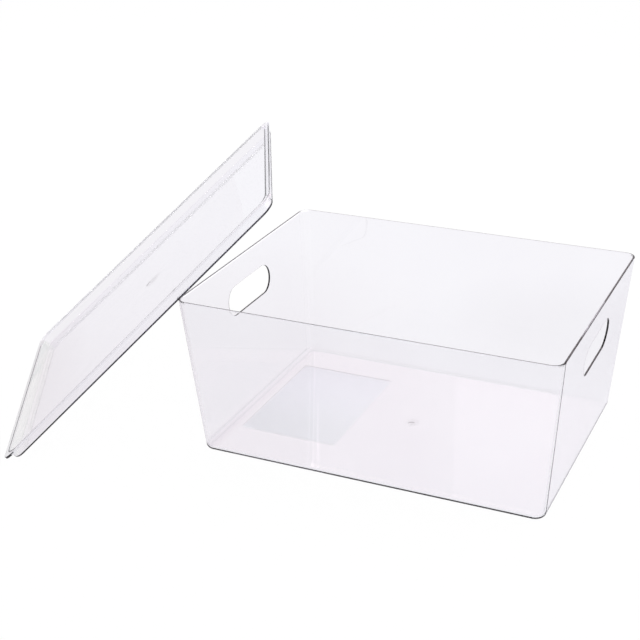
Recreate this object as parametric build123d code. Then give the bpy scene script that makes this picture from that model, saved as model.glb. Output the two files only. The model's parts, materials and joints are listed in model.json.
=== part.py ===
from build123d import *
import os
from math import atan2, cos, degrees, pi, radians, sin, tan

# A clear moulded storage box and its tray lid, in millimetres.
# The origin is the centre of the box's footprint, X runs along the long side, Y away from the front, Z up.
# The lid is modelled flat, centred under its top face, and then stood on end against a corner of the rim.

# box, outside sizes
rim_length = 371.2
rim_depth = 282.4
box_height = 162.7
length_draft = 13.1  # how far each short wall leans in, from rim to base
depth_draft = 14.9  # the same for each long wall
corner_radius = 11.0

# box, moulding
wall = 1.9
floor_thickness = 2.0
fold_radius = 4.3  # outside bend between the walls and the floor
floor_fold_radius = 4.0  # the same bend inside
rim_edge_radius = 0.7

# hand slot through each short wall
grip_length = 91.0
grip_height = 30.0
grip_below_rim = 27.5
grip_edge_radius = 0.7

# mark that the moulding gate leaves in the middle of a panel
gate_radius = 3.5
gate_dimple_depth = 0.5
gate_nub_radius = 1.2
gate_nub_height = 0.3

# bare label in a shallow pocket of the underside
label_length = 101.6
label_depth = 152.4
label_thickness = 0.2
label_corner_radius = 2.5
label_margin = 15.8  # from the foot of the short wall at -X
label_offset = 4.6  # from the box's middle line, towards the back
pocket_depth = 0.3
pocket_play = 1.0  # round the label

# lid
lid_overhang = 1.5  # how far the lid reaches past the rim on each side
lid_flange_thickness = 2.2
lid_flange_edge_radius = 0.5  # round the top face, while the mould parts at the square edge below
lid_wall = 1.8
lid_panel_thickness = 2.0
lid_recess_depth = 9.0
lid_draft = 0.8  # how far the tray narrows on each side by its underside
lid_clearance = 0.8  # play round the tray in the mouth of the box
lid_tray_corner_radius = 14.0
lid_fold_radius = 3.0  # outside bend between the tray's walls and its panel
lid_mouth_radius = 0.6  # edge between the flange and the recess

# how the lid stands beside the box
lean_tilt = 44.2  # degrees from level
lean_heading = 28.1  # degrees from the box's long side
lean_lap = 6.2  # from the tray's low side to the place that rests on the rim
lean_gap = 0.3

overrun = 5.0  # how far a cutter runs past what it cuts


# length and depth of the box at a height above the base, drawn in from the outer face by an inset
def box_size(height, inset=0.0):
    lean_share = 1 - height / box_height
    length = rim_length - 2 * (lean_share * length_draft + inset)
    depth = rim_depth - 2 * (lean_share * depth_draft + inset)
    return length, depth


# solid with the box's leaning walls and upright corners of one radius, between two heights
def drafted_block(low, high, inset=0.0):
    length, depth = box_size(high, inset)
    low_length, low_depth = box_size(low, inset)
    side_x = (length - low_length) / 2
    side_y = (depth - low_depth) / 2
    block = Wedge(
        length,
        high - low,
        depth,
        side_x,
        side_y,
        length - side_x,
        depth - side_y,
        align=(Align.CENTER, Align.MIN, Align.CENTER),
    )
    block = Pos(0, 0, high) * Rot(X=-90) * block
    return fillet(block.edges().group_by(Axis.Z)[1], corner_radius - inset)


def drafted_shell():
    outer = drafted_block(0, box_height)
    outer = fillet(outer.faces().sort_by(Axis.Z)[0].edges(), fold_radius)
    cavity = drafted_block(floor_thickness, box_height + overrun, wall)
    cavity = fillet(cavity.faces().sort_by(Axis.Z)[0].edges(), floor_fold_radius)
    shell = outer - cavity
    return fillet(shell.faces().sort_by(Axis.Z)[-1].edges(), rim_edge_radius)


def grip_centre_height():
    return box_height - grip_below_rim - grip_height / 2


# plane on the outside of the short wall at +X, square to it, at the middle of its hand slot
def grip_plane():
    length, _ = box_size(grip_centre_height())
    origin = Vector(length / 2, 0, grip_centre_height())
    return Plane(origin=origin, x_dir=Vector(0, 1, 0), z_dir=Vector(box_height, 0, -length_draft))


# the edges of both hand slots in a shell
def grip_edges(shell):
    low = grip_centre_height() - grip_height / 2 - grip_edge_radius
    high = grip_centre_height() + grip_height / 2 + grip_edge_radius
    reach = grip_length / 2 + grip_edge_radius
    banded = shell.edges().filter_by_position(Axis.Z, low, high)
    return banded.filter_by_position(Axis.Y, -reach, reach)


def cut_grips(shell):
    tunnel = extrude(grip_plane() * SlotOverall(grip_length, grip_height), overrun, both=True)
    shell = shell - tunnel - mirror(tunnel, Plane.YZ)
    return fillet(grip_edges(shell), grip_edge_radius)


# dimple with a nub in it, opening downwards at the plane z = 0
def gate_dimple():
    dimple = extrude(Circle(gate_radius), gate_dimple_depth)
    nub = Pos(0, 0, gate_dimple_depth - gate_nub_height) * extrude(Circle(gate_nub_radius), gate_nub_height)
    return dimple - nub


# the label's outline, widened by a play, as a sheet that lies on the ground under the box
def label_sheet(play, thickness):
    base_length, _ = box_size(0)
    centre_x = label_margin + label_length / 2 - base_length / 2
    outline = RectangleRounded(label_length + 2 * play, label_depth + 2 * play, label_corner_radius + play)
    return Pos(centre_x, label_offset, 0) * extrude(outline, thickness)


def box_body():
    shell = cut_grips(drafted_shell())
    return shell - label_sheet(pocket_play, pocket_depth) - gate_dimple()


def base_label():
    return Pos(0, 0, pocket_depth - label_thickness) * label_sheet(0, label_thickness)


def tray_depth():
    return lid_recess_depth + lid_panel_thickness


# how far the tray has narrowed on each side, at a drop below the lid's top face
def tray_taper(drop):
    return lid_draft * drop / tray_depth()


# the lean of the tray's walls, in radians
def tray_slope():
    return atan2(lid_draft, tray_depth())


# from the line of the rim's outer edge in to the tray's outer face
def tray_side(drop):
    return wall + lid_clearance + tray_taper(drop)


# tray outline at a drop below the lid's top face, drawn in from the tray's outer face by an inset
def tray_outline(drop, inset=0.0):
    side = tray_side(drop) + inset
    radius = lid_tray_corner_radius - tray_taper(drop) - inset
    return Plane.XY.offset(-drop) * RectangleRounded(rim_length - 2 * side, rim_depth - 2 * side, radius)


def lid_flange():
    length = rim_length + 2 * lid_overhang
    depth = rim_depth + 2 * lid_overhang
    outline = RectangleRounded(length, depth, corner_radius + lid_overhang)
    plate = extrude(Plane.XY.offset(-lid_flange_thickness) * outline, lid_flange_thickness)
    return fillet(plate.faces().sort_by(Axis.Z)[-1].edges(), lid_flange_edge_radius)


# solid with the tray's leaning walls, from one drop down to another, and with its lowest edge rounded
def tray_block(top, bottom, inset, edge_radius):
    outline = tray_outline(top, inset)
    block = extrude(outline, bottom - top, Vector(0, 0, -1), taper=degrees(tray_slope()))
    return fillet(block.faces().sort_by(Axis.Z)[0].edges(), edge_radius)


def lid_tray():
    return tray_block(0, tray_depth(), 0, lid_fold_radius)


def lid_recess():
    return tray_block(-overrun, lid_recess_depth, lid_wall, lid_fold_radius - lid_wall)


def flat_lid():
    lid = lid_flange() + lid_tray() - lid_recess()
    mouth = lid.faces().filter_by(Axis.Z).sort_by(Axis.Z)[-1].inner_wires()[0]
    lid = fillet(mouth.edges(), lid_mouth_radius)
    return lid - Pos(0, 0, -tray_depth()) * gate_dimple()


# The lid stands on its short edge and its panel rests on the rounded corner of the rim.
def leaning_plane():
    tilt = radians(lean_tilt)
    along = Vector(cos(radians(lean_heading)), sin(radians(lean_heading)), 0)
    up = Vector(0, 0, 1)
    rise = along * cos(tilt) + up * sin(tilt)
    face = up * cos(tilt) - along * sin(tilt)
    side = face.cross(rise)
    half_length = rim_length / 2
    half_depth = rim_depth / 2
    panel_side = tray_side(tray_depth())
    fold_in = half_length - panel_side - lid_fold_radius * tan(pi / 4 - tray_slope() / 2)
    fold_drop = tray_depth() - lid_fold_radius
    fold_stand = fold_in * sin(tilt) + fold_drop * cos(tilt) + lid_fold_radius
    flange_stand = (half_length + lid_overhang) * sin(tilt) + lid_flange_thickness * cos(tilt)
    stand = max(fold_stand, flange_stand)
    bend = Vector(corner_radius - half_length, corner_radius - half_depth, box_height - rim_edge_radius)
    rim_edge = bend - along * (corner_radius - rim_edge_radius)
    rest_side = panel_side + lean_lap - half_depth
    rest_drop = tray_depth() + rim_edge_radius + lean_gap
    rest_rise = (rim_edge.Z - stand + rest_drop * face.Z) / rise.Z
    centre = rim_edge - rise * rest_rise - side * rest_side + face * rest_drop
    return Plane(origin=centre, x_dir=rise, z_dir=face)


def leaning_lid():
    return leaning_plane().location * flat_lid()


pieces = {
    "box_body": box_body(),
    "lid": leaning_lid(),
    "base_label": base_label(),
}

os.makedirs("parts", exist_ok=True)
for name, piece in pieces.items():
    export_step(piece, f"parts/{name}.step")

# the line that the lid tips about and the recess that a second box stands in, for the record
standing_edge = leaning_plane().location * Pos(-rim_length / 2 - lid_overhang, 0, -lid_flange_thickness / 2)
stacking_face = leaning_plane().location * Pos(0, 0, -lid_recess_depth)
print("standing edge", standing_edge.position)
print("stacking face", stacking_face.position, leaning_plane().z_dir)
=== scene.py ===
import json
import math

import bmesh
import bpy
from mathutils import Matrix, Vector

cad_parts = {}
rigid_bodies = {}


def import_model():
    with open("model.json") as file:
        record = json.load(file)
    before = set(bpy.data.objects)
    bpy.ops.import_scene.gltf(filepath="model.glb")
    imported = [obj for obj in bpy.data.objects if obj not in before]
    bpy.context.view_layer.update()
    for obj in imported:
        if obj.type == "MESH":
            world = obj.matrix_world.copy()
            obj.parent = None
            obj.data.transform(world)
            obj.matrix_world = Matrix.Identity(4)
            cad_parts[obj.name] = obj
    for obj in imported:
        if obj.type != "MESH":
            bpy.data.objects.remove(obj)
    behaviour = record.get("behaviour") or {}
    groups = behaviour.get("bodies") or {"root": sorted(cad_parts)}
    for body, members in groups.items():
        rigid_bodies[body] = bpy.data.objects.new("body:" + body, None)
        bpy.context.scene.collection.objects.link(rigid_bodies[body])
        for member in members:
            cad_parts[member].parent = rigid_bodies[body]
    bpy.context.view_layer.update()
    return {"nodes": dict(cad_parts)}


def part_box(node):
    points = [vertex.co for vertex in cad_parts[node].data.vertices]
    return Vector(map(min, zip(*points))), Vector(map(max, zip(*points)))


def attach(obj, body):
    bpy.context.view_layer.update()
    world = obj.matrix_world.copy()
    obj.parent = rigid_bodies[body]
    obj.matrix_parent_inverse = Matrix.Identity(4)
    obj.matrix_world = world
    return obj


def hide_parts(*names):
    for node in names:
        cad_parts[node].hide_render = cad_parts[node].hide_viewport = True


for old in list(bpy.data.objects):
    bpy.data.objects.remove(old)

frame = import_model()
nodes = frame["nodes"]
scene = bpy.context.scene
print("frame loaded")

white = (1, 1, 1, 1)
black = (0, 0, 0, 1)


class Wire:
    # a socket on which values can be added, multiplied and so on
    def __init__(self, graph, socket):
        self.graph = graph
        self.socket = socket

    def sum(self, operation, first, second):
        return self.graph.node("Math", {"operation": operation}, {0: first, 1: second})

    def __add__(self, other):
        return self.sum("ADD", self, other)

    def __radd__(self, other):
        return self.sum("ADD", other, self)

    def __rsub__(self, other):
        return self.sum("SUBTRACT", other, self)

    def __mul__(self, other):
        return self.sum("MULTIPLY", self, other)

    def __rmul__(self, other):
        return self.sum("MULTIPLY", other, self)


class Graph:
    def __init__(self, tree):
        self.tree = tree
        tree.nodes.clear()

    # adds one node: its settings first, then the values or links of its sockets
    def node(self, kind, settings=None, sockets=None, output=0):
        made = self.tree.nodes.new("ShaderNode" + kind)
        for name, value in (settings or {}).items():
            if name == "stops":
                self.fillRamp(made.color_ramp, value)
            else:
                setattr(made, name, value)
        for name, value in (sockets or {}).items():
            if isinstance(value, Wire):
                self.tree.links.new(value.socket, made.inputs[name])
            else:
                made.inputs[name].default_value = value
        return Wire(self, made.outputs[output]) if made.outputs else None

    def fillRamp(self, ramp, stops):
        while len(ramp.elements) < len(stops):
            ramp.elements.new(1)
        for element, (place, tone) in zip(ramp.elements, stops):
            element.position = place
            element.color = (tone, tone, tone, 1)

    def here(self):
        return self.node("TexCoord", output="Object")

    def noise(self, scale, detail, roughness, stretch=(1, 1, 1), turn=(0, 0, 0)):
        place = self.node("Mapping", sockets={"Vector": self.here(), "Scale": stretch, "Rotation": turn})
        sockets = {"Vector": place, "Scale": scale, "Detail": detail, "Roughness": roughness}
        return self.node("TexNoise", sockets=sockets)

    # one of the three numbers of a vector, by default of the place
    def axis(self, name, vector=None):
        return self.node("SeparateXYZ", sockets={0: vector or self.here()}, output=name)

    # how far a vector, by default the place, reaches in a direction
    def along(self, direction, vector=None):
        sockets = {0: vector or self.here(), 1: direction}
        return self.node("VectorMath", {"operation": "DOT_PRODUCT"}, sockets, output="Value")

    def awayFrom(self, point):
        return self.node("VectorMath", {"operation": "DISTANCE"}, {0: self.here(), 1: point}, output="Value")

    # 0 up to the start and 1 from the end on, in either direction
    def slope(self, value, start, end):
        return self.node("MapRange", sockets={0: value, 1: start, 2: end})

    def ramp(self, value, stops):
        return self.node("ValToRGB", {"stops": stops}, {"Fac": value})

    def blend(self, factor, first, second):
        return self.node("Mix", {"data_type": "RGBA"}, {"Factor": factor, 6: first, 7: second}, output=2)

    def tint(self, first, second):
        return self.node("VectorMath", {"operation": "MULTIPLY"}, {0: first, 1: second})

    def bump(self, height, strength, depth):
        return self.node("Bump", sockets={"Strength": strength, "Distance": depth, "Height": height})

    def mixShaders(self, factor, first, second):
        return self.node("MixShader", sockets={0: factor, 1: first, 2: second})

    def lightPath(self, name):
        return self.node("LightPath", output=name)


def newMaterial(name):
    material = bpy.data.materials.new(name)
    material.use_nodes = True
    return material, Graph(material.node_tree)


def dress(node, material):
    node.data.materials.clear()
    node.data.materials.append(material)


def newPiece(name, mesh, body, replaced, material):
    piece = bpy.data.objects.new(name, mesh)
    scene.collection.objects.link(piece)
    mesh.materials.append(material)
    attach(piece, body)
    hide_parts(replaced)


# Clear plastic, as both mouldings have it. Places and reaches are in metres.

clearPlastic = {
    "ior": 1.49,
    "pale": (0.986, 0.989, 0.991, 1),
    "cloudy": (0.968, 0.965, 0.972, 1),
    "cloudSpread": (0.42, 0.72),  # part of the noise over which pale turns cloudy
    "shadow": (0.985, 0.98, 0.99, 1),
    "unbent": (0.974, 0.969, 0.98, 1),  # tint of the light that passes straight on
    "absorbColor": (0.45, 0.42, 0.55, 1),
    "absorbDensity": 20,
    "gloss": 0.004,
    "scuff": 0.05,
    "scuffSpread": (0.62, 0.7),
    "ripple": 0.03,
    "rippleDepth": 0.0004,
    "hazeStops": ((0.2, 1), (0.5, 0.75), (1, 0)),  # from the middle of a gate mark to the end of its haze
}


# own is the piece's own dictionary, unbentShare(g) the share of light that passes straight on,
# the fourth argument the painted shade that tints the surface, and the last one the painted glow that it
# lets out
def makeClearPlastic(name, own, unbentShare, paintedShade, paintedGlow=None):
    s = clearPlastic
    material, g = newMaterial(name)
    flow = g.noise(scale=5, detail=3, roughness=0.55, stretch=own["grain"])
    cloudy = g.slope(flow, *s["cloudSpread"])
    scratches = g.noise(scale=90, detail=4, roughness=0.6, stretch=(1, 0.12, 1), turn=(0, 0, 0.5))
    scuffs = g.slope(scratches, *s["scuffSpread"])
    waves = g.noise(scale=14, detail=1, roughness=0.4)
    hazed = g.ramp(g.awayFrom(own["gate"]) * (1 / own["hazeReach"]), s["hazeStops"])
    tone = g.blend(hazed, g.blend(cloudy, s["pale"], s["cloudy"]), own["haze"])
    skin = {
        "Base Color": g.tint(tone, paintedShade(g)),
        "Roughness": s["gloss"] + s["scuff"] * scuffs,
        "IOR": s["ior"],
        "Transmission Weight": 1,
        "Normal": g.bump(waves, s["ripple"], s["rippleDepth"]),
    }
    if paintedGlow:
        skin["Emission Color"] = paintedGlow(g)
        skin["Emission Strength"] = 1
    surface = g.node("BsdfPrincipled", sockets=skin)
    unbent = g.node("BsdfTransparent", sockets={"Color": s["unbent"]})
    surface = g.mixShaders(unbentShare(g), surface, unbent)
    shadow = g.node("BsdfTransparent", sockets={"Color": s["shadow"]})
    shown = g.mixShaders(g.lightPath("Is Shadow Ray"), surface, shadow)
    depth = g.node("VolumeAbsorption", sockets={"Color": s["absorbColor"], "Density": s["absorbDensity"]})
    g.node("OutputMaterial", sockets={"Surface": shown, "Volume": depth})
    return material


# The box keeps its CAD mesh. Each pair of places gives where something sets in and where it is complete.

clearBox = {
    "grain": (1, 1, 0.35),
    "gate": (0, 0.003, 0.001),  # middle of the haze round the mark of the moulding gate
    "haze": (0.9, 0.895, 0.9, 1),
    "hazeReach": 0.009,
    "rimHeight": (0.1608, 0.1614),
    "longSides": (0.126667, 0.13),  # from the middle line, towards the front and the back
    "rimUnbent": 0.3,
    "leftSide": (-0.176, -0.18),
    # painted glow on the rim at the left
    "rimPaintedGlow": (0.16, 0.157, 0.163, 1),
    # painted shade in the fold along the left side of the floor
    "foldPaintedShade": (0.93, 0.91, 0.93, 1),
    "foldFromWall": (-0.175, -0.171),
    "foldFromFloor": (-0.158, -0.167),
    "foldHeight": (0.009, 0.006),
    "foldFade": 0.7,  # share of the fold's painted shade that is gone at the back
    "foldFadePlaces": (-0.133333, 0.1),
}


def onRim(g):
    return g.slope(g.axis("Z"), *clearBox["rimHeight"])


# along the front and the back of the rim some light passes straight on, which makes its line fainter
def unbentRim(g):
    s = clearBox
    fromMiddle = g.node("Math", {"operation": "ABSOLUTE"}, {0: g.axis("Y")})
    return s["rimUnbent"] * onRim(g) * g.slope(fromMiddle, *s["longSides"])


# painted glow: emission makes the rim at the left glow, standing in for some of the light that the wall
# guides up to it
def paintedRimGlow(g):
    s = clearBox
    return g.blend(onRim(g) * g.slope(g.axis("X"), *s["leftSide"]), black, s["rimPaintedGlow"])


# painted shade: the fold along the left side of the floor is darkened, most of all at the front
def boxPaintedShade(g):
    s = clearBox
    along = g.axis("X")
    fold = g.slope(along, *s["foldFromWall"]) * g.slope(along, *s["foldFromFloor"])
    low = g.slope(g.axis("Z"), *s["foldHeight"])
    near = 1 - s["foldFade"] * g.slope(g.axis("Y"), *s["foldFadePlaces"])
    return g.blend(fold * low * near, white, s["foldPaintedShade"])


dress(nodes["box_body"], makeClearPlastic("clearBoxPlastic", clearBox, unbentRim, boxPaintedShade, paintedRimGlow))
print("clear plastic done")


# The lid in the photo is twisted a little: its long side at the back sinks towards the top.

twistedLid = {
    "middle": (-0.286439, -0.040845, 0.133744),
    "rise": (0.632407, 0.337674, 0.697165),
    "side": (-0.471012, 0.882127, 0),
    "length": 0.3742,
    "depth": 0.2854,
    "sink": 0.008,  # at the far end of the long side at the back
    "pull": 0.372,  # how far that end comes in meanwhile, as a share of the sink
    "foot": 0.008,  # the end that stands on the ground stays straight
    "still": 0.9,  # place of the line that rests on the rim, as a share of half the depth
    "cells": (14, 10),
    "sharp": 35,  # in degrees
    "mergeWithin": 1e-6,
    "grain": (0.5, 1, 1),
    "gate": (-0.2728, -0.0369, 0.1302),
    "haze": (0.78, 0.775, 0.78, 1),
    "hazeReach": 0.011,
    # painted shade at the foot of the flange
    "footPaintedShade": (0.926, 0.965, 0.926, 1),
    "footPlaces": (-0.28, -0.281),  # along the rise, from the origin
    # painted shade along the back of the flange
    "backPaintedShade": (0.87, 0.87, 0.88, 1),
    "backPlaces": (0.2292, 0.23),  # along the side, from the origin
    "backUnbent": 0.82,
}

wornEdge = {
    "width": 0.0003,
    "tone": (0.96, 0.96, 0.95, 1),
    "paintedGlow": (0.15, 0.155, 0.145, 1),  # painted glow, standing in for light that the panel guides to it
    "clear": 0.15,  # share of it that light passes
    "gloss": 0.4,
    "glossSpread": 0.2,
    "dents": 0.3,
    "dentDepth": 0.0002,
}


def onBack(g):
    return g.slope(g.along(twistedLid["side"]), *twistedLid["backPlaces"])


# the wall of the recess at the back lets most of the light pass straight on, which makes its folds faint
def unbentBack(g):
    return twistedLid["backUnbent"] * onBack(g)


# painted shade: the flange is darkened at the foot and along the back
def lidPaintedShade(g):
    s = twistedLid
    onFoot = g.slope(g.along(s["rise"]), *s["footPlaces"])
    return g.blend(onFoot, g.blend(onBack(g), white, s["backPaintedShade"]), s["footPaintedShade"])


# the cut edge of the lid at the back, dull and a little grey, with a painted glow
def makeWornEdge():
    s = wornEdge
    material, g = newMaterial("wornEdge")
    grain = g.noise(scale=400, detail=3, roughness=0.6, stretch=(1, 1, 3))
    skin = {
        "Base Color": g.blend(grain, s["tone"], clearPlastic["cloudy"]),
        "Roughness": s["gloss"] + s["glossSpread"] * grain,
        "IOR": clearPlastic["ior"],
        "Transmission Weight": s["clear"],
        "Emission Color": s["paintedGlow"],
        "Emission Strength": 1,
        "Normal": g.bump(grain, s["dents"], s["dentDepth"]),
    }
    g.node("OutputMaterial", sockets={"Surface": g.node("BsdfPrincipled", sockets=skin)})
    return material


# each corner takes the mean of the faces that meet there within an angle, the large ones counting most
def weightedNormals(bm, sharp):
    limit = math.cos(math.radians(sharp))
    areas = {face: face.calc_area() for face in bm.faces}
    normals = []
    for face in bm.faces:
        for corner in face.loops:
            total = Vector()
            for near in corner.vert.link_faces:
                if near.normal.dot(face.normal) > limit:
                    total += near.normal * areas[near]
            normals.append(total.normalized() if total.length else face.normal)
    return normals


def makeTwistedLid():
    s = twistedLid
    middle, rise, side = Vector(s["middle"]), Vector(s["rise"]), Vector(s["side"])
    face = rise.cross(side)
    merge = s["mergeWithin"]
    bm = bmesh.new()
    bm.from_mesh(nodes["lid"].data)
    bm.transform(nodes["lid"].matrix_world)
    bmesh.ops.remove_doubles(bm, verts=bm.verts[:], dist=merge)
    for part in bm.faces:
        fromMiddle = (part.calc_center_median() - middle).dot(side)
        part.material_index = 1 if fromMiddle > s["depth"] / 2 - wornEdge["width"] else 0
    for axis, size, count in ((rise, s["length"], s["cells"][0]), (side, s["depth"], s["cells"][1])):
        for step in range(1, count):
            onPlane = middle + axis * size * (step / count - 0.5)
            whole = bm.verts[:] + bm.edges[:] + bm.faces[:]
            bmesh.ops.bisect_plane(bm, geom=whole, dist=merge, plane_co=onPlane, plane_no=axis)
    for vert in bm.verts:
        spot = vert.co - middle
        along = max(spot.dot(rise) + s["length"] / 2 - s["foot"], 0) / (s["length"] - s["foot"])
        across = max(spot.dot(side) / (s["depth"] / 2) + s["still"], 0) / (1 + s["still"])
        vert.co -= (face + s["pull"] * side) * s["sink"] * along * across
    bm.normal_update()
    normals = weightedNormals(bm, s["sharp"])
    mesh = bpy.data.meshes.new("twistedLid")
    bm.to_mesh(mesh)
    bm.free()
    for polygon in mesh.polygons:
        polygon.use_smooth = True
    mesh.normals_split_custom_set(normals)
    plastic = makeClearPlastic("clearLidPlastic", s, unbentBack, lidPaintedShade)
    newPiece("twistedLid", mesh, "lid", "lid", plastic)
    mesh.materials.append(makeWornEdge())


makeTwistedLid()
print("lid done")


# The bare label under the floor.

labelFilm = {
    "pale": (0.94, 0.965, 0.99, 1),
    "mottle": (0.915, 0.94, 0.965, 1),
    "mottleSpread": (0.35, 0.68),
    "paintedShade": (0.865, 0.9, 0.905, 1),  # painted shade, darker towards the front
    "paintedShadePlaces": (0.041667, -0.05),
    "roughness": 0.55,
    "roughnessSpread": 0.12,
    "grain": 0.15,
    "grainDepth": 0.0001,
    "airGap": 0.00006,  # thin air between the film and the clear floor over it
    "cornerRadius": 0.0025,
    "cornerSteps": 6,
}


def makeLabelFilm():
    s = labelFilm
    material, g = newMaterial("bareLabelFilm")
    mottle = g.slope(g.noise(scale=60, detail=4, roughness=0.6), *s["mottleSpread"])
    grain = g.noise(scale=900, detail=2, roughness=0.5)
    # painted shade: the film is darker towards the front
    paintedShade = g.slope(g.axis("Y"), *s["paintedShadePlaces"])
    skin = {
        "Base Color": g.blend(paintedShade, g.blend(mottle, s["pale"], s["mottle"]), s["paintedShade"]),
        "Roughness": s["roughness"] + s["roughnessSpread"] * mottle,
        "Normal": g.bump(grain, s["grain"], s["grainDepth"]),
    }
    g.node("OutputMaterial", sockets={"Surface": g.node("BsdfPrincipled", sockets=skin)})
    return material


def makeLabel():
    s = labelFilm
    low, high = (Vector(corner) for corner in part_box("base_label"))
    bm = bmesh.new()
    middle = Matrix.Translation(((low.x + high.x) / 2, (low.y + high.y) / 2, low.z))
    halfSizes = Matrix.Diagonal(((high.x - low.x) / 2, (high.y - low.y) / 2, 1, 1))
    bmesh.ops.create_grid(bm, x_segments=1, y_segments=1, size=1, matrix=middle @ halfSizes)
    bmesh.ops.bevel(bm, geom=bm.verts[:], offset=s["cornerRadius"], offset_type="OFFSET", affect="VERTICES",
                    segments=s["cornerSteps"], profile=0.5, material=-1)
    sheet = bmesh.ops.extrude_face_region(bm, geom=bm.faces[:])
    top = [part for part in sheet["geom"] if isinstance(part, bmesh.types.BMVert)]
    bmesh.ops.translate(bm, verts=top, vec=(0, 0, high.z - s["airGap"] - low.z))
    bmesh.ops.recalc_face_normals(bm, faces=bm.faces[:])
    mesh = bpy.data.meshes.new("bareLabel")
    bm.to_mesh(mesh)
    bm.free()
    newPiece("bareLabel", mesh, "box", "base_label", makeLabelFilm())


makeLabel()
print("label done")


# The floor, the world and the lamps. Directions and heights in the world are those of a ray of length 1.

studio = {
    "floorSize": 12.0,
    "floorDrop": 0.0002,  # keeps the floor clear of the box's underside
    "floorTone": (0.93, 0.93, 0.93, 1),
    "floorShare": 0.95,  # the rest shows the object's shadow
    "floorThrough": (0.97, 0.961, 0.993, 1),
    "mirrorLoss": (0.925, 0.912, 0.93),
    # painted shadow of the object on the floor, which only rays through the plastic see
    "nearPaintedShadow": (0.88, 0.85, 0.88, 1),
    "nearShadowPlace": (-0.42, -0.06, 0),
    "nearShadowReach": (0.5, 0.05),  # from where this painted shadow sets in to where it is complete
    # a second painted shadow, behind the box
    "farPaintedShadow": (0.925, 0.914, 0.945, 1),
    "farShadowPlace": (0.09, 0.285, 0),
    "farShadowReach": (0.2, 0.06),
    "worldLight": 0.95,
    "horizonTone": (0.955, 0.95, 0.99, 1),
    "skyTone": (1, 0.865, 0.915, 1),
    "wallHeights": (0.25, 0.33),  # from the horizon's tone and level to the sky's
    "wallGain": 0.48,
    "darkAbove": 0.3,
    "darkHeights": (0.5, 0.72),
    "panelSide": (0.948, 0.317, 0),  # points from the dimmer half of the studio to the brighter one
    "panelGain": 0.4,
    "panelSteps": ((-0.11, -0.104), (-0.0005, 0.0005)),  # each brings half of the gain
    "slitAhead": (-0.43, 0.9028, 0),  # towards a bright gap between two panels
    "slitSide": (0.9028, 0.43, 0),
    "slitStart": (0.1, 0.2),
    "slitFineness": 80,  # brings the gap's width to the range of its stops, with its middle at 0.5
    "slitStops": (
        (0.38, 0), (0.44, 1), (0.56, 1), (0.64, 0.15), (0.78, 0.15), (0.84, 0.5), (0.9, 0.5), (0.96, 0),
    ),
    "slitGain": 1,
    "softBoxes": ((-0.9, -0.25, 0.36), (0.9, 0.1, 0.42)),
    "softBoxEdge": (0.92, 0.96),  # cosine of the angle from the middle of a soft box
    "softBoxGain": 1.2,
    "lampSize": 1.6,
    "lampPower": 11,
    "lampPlaces": ((-1.4, 0.9, 1.9), (1.5, 0.5, 1.8)),
}


# 1 for rays that clear plastic bends or mirrors on their way from the camera, so that they show
# the white background too, and 0 once a matt surface has scattered them
def clearShare(g):
    matt = g.node("Math", {"operation": "MINIMUM"}, {0: g.lightPath("Diffuse Depth"), 1: 1})
    ways = {0: g.lightPath("Is Transmission Ray"), 1: g.lightPath("Is Glossy Ray")}
    return g.node("Math", {"operation": "MAXIMUM"}, ways) * (1 - matt)


def makeFloor():
    s = studio
    bpy.ops.mesh.primitive_plane_add(size=s["floorSize"], location=(0, 0, -s["floorDrop"]))
    floor = bpy.context.object
    floor.name = "floor"
    material, g = newMaterial("paleFloor")
    matt = g.node("BsdfDiffuse", sockets={"Color": s["floorTone"]})
    straight = g.lightPath("Is Camera Ray")
    # painted shadow round the object, seen only through the plastic
    near = g.slope(g.awayFrom(s["nearShadowPlace"]), *s["nearShadowReach"])
    far = g.slope(g.awayFrom(s["farShadowPlace"]), *s["farShadowReach"])
    through = g.blend(far, g.blend(near, s["floorThrough"], s["nearPaintedShadow"]), s["farPaintedShadow"])
    mirrored = g.tint(through, s["mirrorLoss"])
    through = g.blend(g.lightPath("Is Reflection Ray"), through, mirrored)
    shining = g.node("Emission", sockets={"Color": g.blend(straight, through, white), "Strength": 1})
    mixed = g.mixShaders(s["floorShare"] * (straight + clearShare(g)), matt, shining)
    g.node("OutputMaterial", sockets={"Surface": mixed})
    dress(floor, material)


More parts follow.
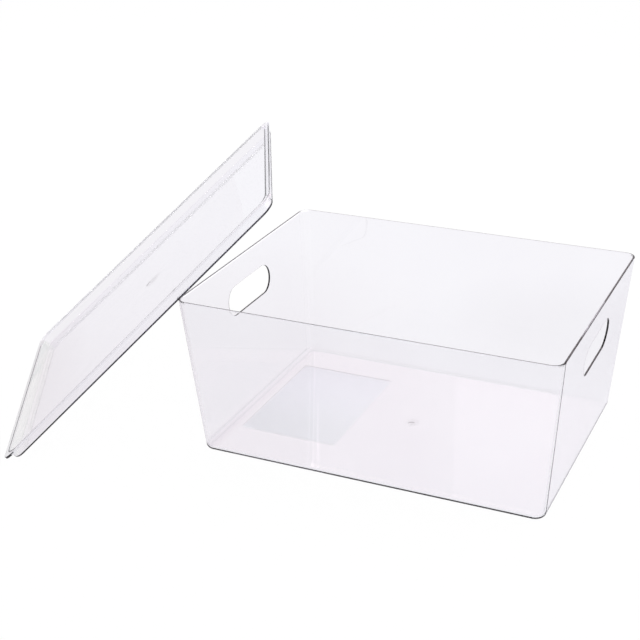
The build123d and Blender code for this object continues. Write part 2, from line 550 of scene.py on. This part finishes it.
def makeWorld():
    s = studio
    world = bpy.data.worlds.new("softStudio")
    scene.world = world
    world.use_nodes = True
    g = Graph(world.node_tree)
    ray = g.node("TexCoord", output="Generated")
    height = g.axis("Z", ray)
    raised = g.slope(height, *s["wallHeights"])
    fade = 1 - (1 - s["darkAbove"]) * g.slope(height, *s["darkHeights"])
    side = g.along(s["panelSide"], ray)
    firstStep, secondStep = s["panelSteps"]
    panel = 0.5 * (g.slope(side, *firstStep) + g.slope(side, *secondStep))
    slit = g.ramp(0.5 + s["slitFineness"] * g.along(s["slitSide"], ray), s["slitStops"])
    slit = slit * g.slope(g.along(s["slitAhead"], ray), *s["slitStart"])
    walls = s["wallGain"] - s["panelGain"] * (1 - panel) + s["slitGain"] * slit
    level = fade * (1 + raised * walls)
    for place in s["softBoxes"]:
        facing = g.along(Vector(place).normalized(), ray)
        level = level + s["softBoxGain"] * g.slope(facing, *s["softBoxEdge"])
    tone = g.blend(raised, s["horizonTone"], s["skyTone"])
    lighting = g.node("Background", sockets={"Color": white, "Strength": s["worldLight"]})
    around = g.node("Background", sockets={"Color": tone, "Strength": level})
    plain = g.node("Background", sockets={"Color": white, "Strength": 1})
    bent = g.mixShaders(clearShare(g), lighting, around)
    seen = g.mixShaders(g.lightPath("Is Camera Ray"), bent, plain)
    g.node("OutputWorld", sockets={"Surface": seen})


def makeLamps():
    s = studio
    for number, place in enumerate(s["lampPlaces"]):
        lamp = bpy.data.lights.new(f"softLamp{number}", "AREA")
        lamp.shape = "SQUARE"
        lamp.size = s["lampSize"]
        lamp.energy = s["lampPower"]
        holder = bpy.data.objects.new(lamp.name, lamp)
        holder.location = place
        holder.rotation_mode = "QUATERNION"
        holder.rotation_quaternion = Vector(place).to_track_quat("Z", "Y")
        scene.collection.objects.link(holder)


makeFloor()
makeWorld()
makeLamps()
print("studio done")


# The camera, fitted to the photo's lines.

photoCamera = {
    "place": (0.420704, -1.121531, 0.649307),
    "heading": -0.4354980,  # turn to the right of straight ahead, in radians
    "dip": 0.4182956,
    "roll": 0.0185561,
    "lens": 74.777,
    "sensor": 36.0,
    "nearest": 0.05,
    "farthest": 60,
}


def makeCamera():
    s = photoCamera
    heading, dip, roll = s["heading"], s["dip"], s["roll"]
    ahead = Vector((math.sin(heading) * math.cos(dip), math.cos(heading) * math.cos(dip), -math.sin(dip)))
    right = Vector((math.cos(heading), -math.sin(heading), 0))
    down = ahead.cross(right)
    across = math.cos(roll) * right + math.sin(roll) * down
    upright = math.sin(roll) * right - math.cos(roll) * down
    camera = bpy.data.cameras.new("photoCamera")
    camera.lens = s["lens"]
    camera.sensor_width = s["sensor"]
    camera.clip_start = s["nearest"]
    camera.clip_end = s["farthest"]
    holder = bpy.data.objects.new("photoCamera", camera)
    turn = Matrix((across, upright, -ahead)).transposed()
    holder.matrix_world = Matrix.Translation(Vector(s["place"])) @ turn.to_4x4()
    scene.collection.objects.link(holder)
    scene.camera = holder


makeCamera()
scene.view_settings.view_transform = "Standard"
print("camera done")
